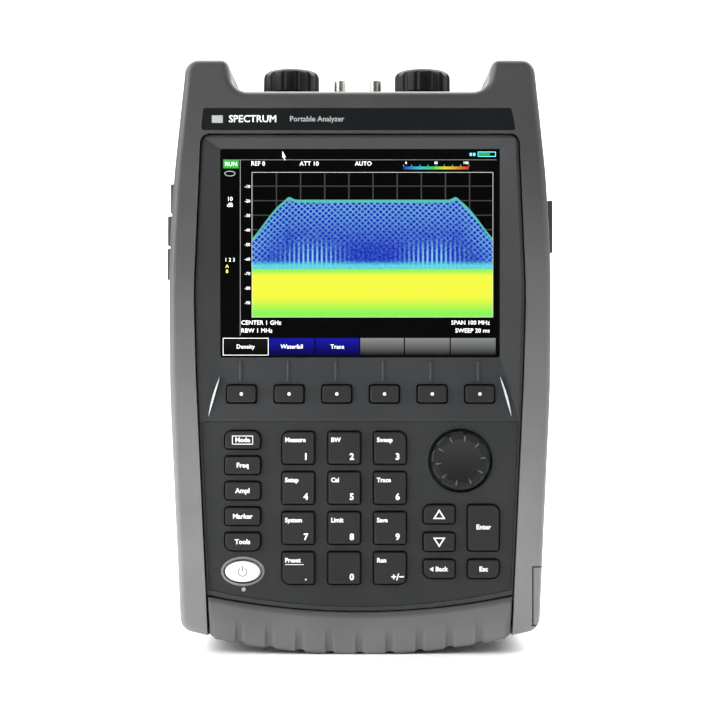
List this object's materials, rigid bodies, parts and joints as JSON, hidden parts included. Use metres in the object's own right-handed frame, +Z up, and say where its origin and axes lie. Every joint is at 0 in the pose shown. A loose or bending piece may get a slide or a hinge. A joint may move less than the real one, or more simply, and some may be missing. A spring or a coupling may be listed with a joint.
{
  "type": "handheld spectrum analyzer",
  "caption": "Upright handheld spectrum analyzer: screen, row of softkeys, number pad, fluted knob, capped top ports, side covers, fold-out stand and bottom bumper.",
  "frame": {"origin": "middle of the bounding box's footprint, on the surface that the analyzer stands on", "axes": "+Z up, along the tall side; the screen faces -Y; +X is right for a person who looks at the screen"},
  "size_m": [0.1904, 0.072, 0.2836],
  "materials": {
    "case_front": "satin moulded rubber skin",
    "case_rear": "fine textured plastic",
    "seal_rubber": "matt",
    "panel": "satin",
    "keypad_plate": "fine matt",
    "bumper": "satin moulded rubber",
    "nameplate": "semi-gloss",
    "display_glass": "clear, dark behind",
    "screen_metal": "plain frame",
    "bright_trim": "bright",
    "knob": "satin",
    "steel": "brushed",
    "encoder_can": "plain",
    "board": "solder mask",
    "shield": "tinned",
    "connector_metal": "nickel plated",
    "cap_rubber": "matt",
    "gold": "nickel plated",
    "connector_plate": "dark painted",
    "battery": "matt",
    "stand": "textured",
    "cover_rubber": "matt",
    "jack_metal": "plated",
    "keys": "matt silicone",
    "power_key": "matt pale silicone"
  },
  "bodies": {
    "case": {"outer_frame": "case_front", "rear_housing": "case_rear", "case_seal": "seal_rubber", "front_panel": "panel", "keypad_plate": "keypad_plate", "bottom_bumper": "bumper", "nameplate": "nameplate", "display_glass": "display_glass", "lcd_module": "screen_metal", "accent_trims": "bright_trim", "encoder": "encoder_can", "keypad_board": "board", "main_board": "board", "rf_shield": "shield", "rf_connectors": "connector_metal", "sma_connectors": "gold", "connector_plate": "connector_plate", "battery_pack": "battery", "hinge_pins": "steel", "side_jacks": "jack_metal", "case_screws": "steel"},
    "knob_body": {"knob": "knob", "encoder_shaft": "steel"},
    "cap_left": {"dust_cap_left": "cap_rubber"},
    "cap_right": {"dust_cap_right": "cap_rubber"},
    "battery_door_body": {"battery_door": "case_front"},
    "stand_body": {"kickstand": "stand"},
    "cover_upper": {"port_cover_upper": "cover_rubber"},
    "cover_middle": {"port_cover_middle": "cover_rubber"},
    "cover_lower": {"port_cover_lower": "cover_rubber"},
    "cover_right": {"port_cover_right": "cover_rubber"},
    "key_soft_1_body": {"key_soft_1": "keys"},
    "key_soft_2_body": {"key_soft_2": "keys"},
    "key_soft_3_body": {"key_soft_3": "keys"},
    "key_soft_4_body": {"key_soft_4": "keys"},
    "key_soft_5_body": {"key_soft_5": "keys"},
    "key_soft_6_body": {"key_soft_6": "keys"},
    "key_mode_body": {"key_mode": "keys"},
    "key_frequency_body": {"key_frequency": "keys"},
    "key_amplitude_body": {"key_amplitude": "keys"},
    "key_marker_body": {"key_marker": "keys"},
    "key_tools_body": {"key_tools": "keys"},
    "key_1_body": {"key_1": "keys"},
    "key_2_body": {"key_2": "keys"},
    "key_3_body": {"key_3": "keys"},
    "key_4_body": {"key_4": "keys"},
    "key_5_body": {"key_5": "keys"},
    "key_6_body": {"key_6": "keys"},
    "key_7_body": {"key_7": "keys"},
    "key_8_body": {"key_8": "keys"},
    "key_9_body": {"key_9": "keys"},
    "key_point_body": {"key_point": "keys"},
    "key_0_body": {"key_0": "keys"},
    "key_sign_body": {"key_sign": "keys"},
    "key_up_body": {"key_up": "keys"},
    "key_down_body": {"key_down": "keys"},
    "key_back_body": {"key_back": "keys"},
    "key_enter_body": {"key_enter": "keys"},
    "key_escape_body": {"key_escape": "keys"},
    "key_power_body": {"key_power": "power_key"}
  },
  "joints": [
    {"name": "knob_turn", "type": "hinge", "parent": "case", "child": "knob_body", "pos_m": [0.0479, -0.034, 0.0922], "axis": [0, -1, 0], "continuous": true},
    {"name": "cap_left_lift", "type": "slide", "parent": "case", "child": "cap_left", "axis": [0, 0, 1], "range_m": [0, 0.02]},
    {"name": "cap_right_lift", "type": "slide", "parent": "case", "child": "cap_right", "axis": [0, 0, 1], "range_m": [0, 0.02]},
    {"name": "battery_door_hinge", "type": "hinge", "parent": "case", "child": "battery_door_body", "pos_m": [0.0885, 0.0208, 0.0267], "axis": [0, 0, 1], "range_deg": [0, 100]},
    {"name": "stand_hinge", "type": "hinge", "parent": "case", "child": "stand_body", "pos_m": [0, 0.0329, 0.15], "axis": [1, 0, 0], "range_deg": [0, 50]},
    {"name": "cover_upper_hinge", "type": "hinge", "parent": "case", "child": "cover_upper", "pos_m": [-0.0936, 0.012, 0.2197], "axis": [0, 0, -1], "range_deg": [0, 110]},
    {"name": "cover_middle_hinge", "type": "hinge", "parent": "case", "child": "cover_middle", "pos_m": [-0.095, 0.012, 0.2038], "axis": [0, 0, -1], "range_deg": [0, 110]},
    {"name": "cover_lower_hinge", "type": "hinge", "parent": "case", "child": "cover_lower", "pos_m": [-0.0952, 0.012, 0.1874], "axis": [0, 0, -1], "range_deg": [0, 110]},
    {"name": "cover_right_hinge", "type": "hinge", "parent": "case", "child": "cover_right", "pos_m": [0.0952, 0.012, 0.206], "axis": [0, 0, 1], "range_deg": [0, 110]},
    {"name": "key_soft_1_press", "type": "slide", "parent": "case", "child": "key_soft_1_body", "axis": [0, 1, 0], "range_m": [0, 0.001], "stiffness_N_per_m": 300},
    {"name": "key_soft_2_press", "type": "slide", "parent": "case", "child": "key_soft_2_body", "axis": [0, 1, 0], "range_m": [0, 0.001], "stiffness_N_per_m": 300},
    {"name": "key_soft_3_press", "type": "slide", "parent": "case", "child": "key_soft_3_body", "axis": [0, 1, 0], "range_m": [0, 0.001], "stiffness_N_per_m": 300},
    {"name": "key_soft_4_press", "type": "slide", "parent": "case", "child": "key_soft_4_body", "axis": [0, 1, 0], "range_m": [0, 0.001], "stiffness_N_per_m": 300},
    {"name": "key_soft_5_press", "type": "slide", "parent": "case", "child": "key_soft_5_body", "axis": [0, 1, 0], "range_m": [0, 0.001], "stiffness_N_per_m": 300},
    {"name": "key_soft_6_press", "type": "slide", "parent": "case", "child": "key_soft_6_body", "axis": [0, 1, 0], "range_m": [0, 0.001], "stiffness_N_per_m": 300},
    {"name": "key_mode_press", "type": "slide", "parent": "case", "child": "key_mode_body", "axis": [0, 1, 0], "range_m": [0, 0.001], "stiffness_N_per_m": 300},
    {"name": "key_frequency_press", "type": "slide", "parent": "case", "child": "key_frequency_body", "axis": [0, 1, 0], "range_m": [0, 0.001], "stiffness_N_per_m": 300},
    {"name": "key_amplitude_press", "type": "slide", "parent": "case", "child": "key_amplitude_body", "axis": [0, 1, 0], "range_m": [0, 0.001], "stiffness_N_per_m": 300},
    {"name": "key_marker_press", "type": "slide", "parent": "case", "child": "key_marker_body", "axis": [0, 1, 0], "range_m": [0, 0.001], "stiffness_N_per_m": 300},
    {"name": "key_tools_press", "type": "slide", "parent": "case", "child": "key_tools_body", "axis": [0, 1, 0], "range_m": [0, 0.001], "stiffness_N_per_m": 300},
    {"name": "key_1_press", "type": "slide", "parent": "case", "child": "key_1_body", "axis": [0, 1, 0], "range_m": [0, 0.001], "stiffness_N_per_m": 300},
    {"name": "key_2_press", "type": "slide", "parent": "case", "child": "key_2_body", "axis": [0, 1, 0], "range_m": [0, 0.001], "stiffness_N_per_m": 300},
    {"name": "key_3_press", "type": "slide", "parent": "case", "child": "key_3_body", "axis": [0, 1, 0], "range_m": [0, 0.001], "stiffness_N_per_m": 300},
    {"name": "key_4_press", "type": "slide", "parent": "case", "child": "key_4_body", "axis": [0, 1, 0], "range_m": [0, 0.001], "stiffness_N_per_m": 300},
    {"name": "key_5_press", "type": "slide", "parent": "case", "child": "key_5_body", "axis": [0, 1, 0], "range_m": [0, 0.001], "stiffness_N_per_m": 300},
    {"name": "key_6_press", "type": "slide", "parent": "case", "child": "key_6_body", "axis": [0, 1, 0], "range_m": [0, 0.001], "stiffness_N_per_m": 300},
    {"name": "key_7_press", "type": "slide", "parent": "case", "child": "key_7_body", "axis": [0, 1, 0], "range_m": [0, 0.001], "stiffness_N_per_m": 300},
    {"name": "key_8_press", "type": "slide", "parent": "case", "child": "key_8_body", "axis": [0, 1, 0], "range_m": [0, 0.001], "stiffness_N_per_m": 300},
    {"name": "key_9_press", "type": "slide", "parent": "case", "child": "key_9_body", "axis": [0, 1, 0], "range_m": [0, 0.001], "stiffness_N_per_m": 300},
    {"name": "key_point_press", "type": "slide", "parent": "case", "child": "key_point_body", "axis": [0, 1, 0], "range_m": [0, 0.001], "stiffness_N_per_m": 300},
    {"name": "key_0_press", "type": "slide", "parent": "case", "child": "key_0_body", "axis": [0, 1, 0], "range_m": [0, 0.001], "stiffness_N_per_m": 300},
    {"name": "key_sign_press", "type": "slide", "parent": "case", "child": "key_sign_body", "axis": [0, 1, 0], "range_m": [0, 0.001], "stiffness_N_per_m": 300},
    {"name": "key_up_press", "type": "slide", "parent": "case", "child": "key_up_body", "axis": [0, 1, 0], "range_m": [0, 0.001], "stiffness_N_per_m": 300},
    {"name": "key_down_press", "type": "slide", "parent": "case", "child": "key_down_body", "axis": [0, 1, 0], "range_m": [0, 0.001], "stiffness_N_per_m": 300},
    {"name": "key_back_press", "type": "slide", "parent": "case", "child": "key_back_body", "axis": [0, 1, 0], "range_m": [0, 0.001], "stiffness_N_per_m": 300},
    {"name": "key_enter_press", "type": "slide", "parent": "case", "child": "key_enter_body", "axis": [0, 1, 0], "range_m": [0, 0.001], "stiffness_N_per_m": 300},
    {"name": "key_escape_press", "type": "slide", "parent": "case", "child": "key_escape_body", "axis": [0, 1, 0], "range_m": [0, 0.001], "stiffness_N_per_m": 300},
    {"name": "key_power_press", "type": "slide", "parent": "case", "child": "key_power_body", "axis": [0, 1, 0], "range_m": [0, 0.001], "stiffness_N_per_m": 300}
  ]
}
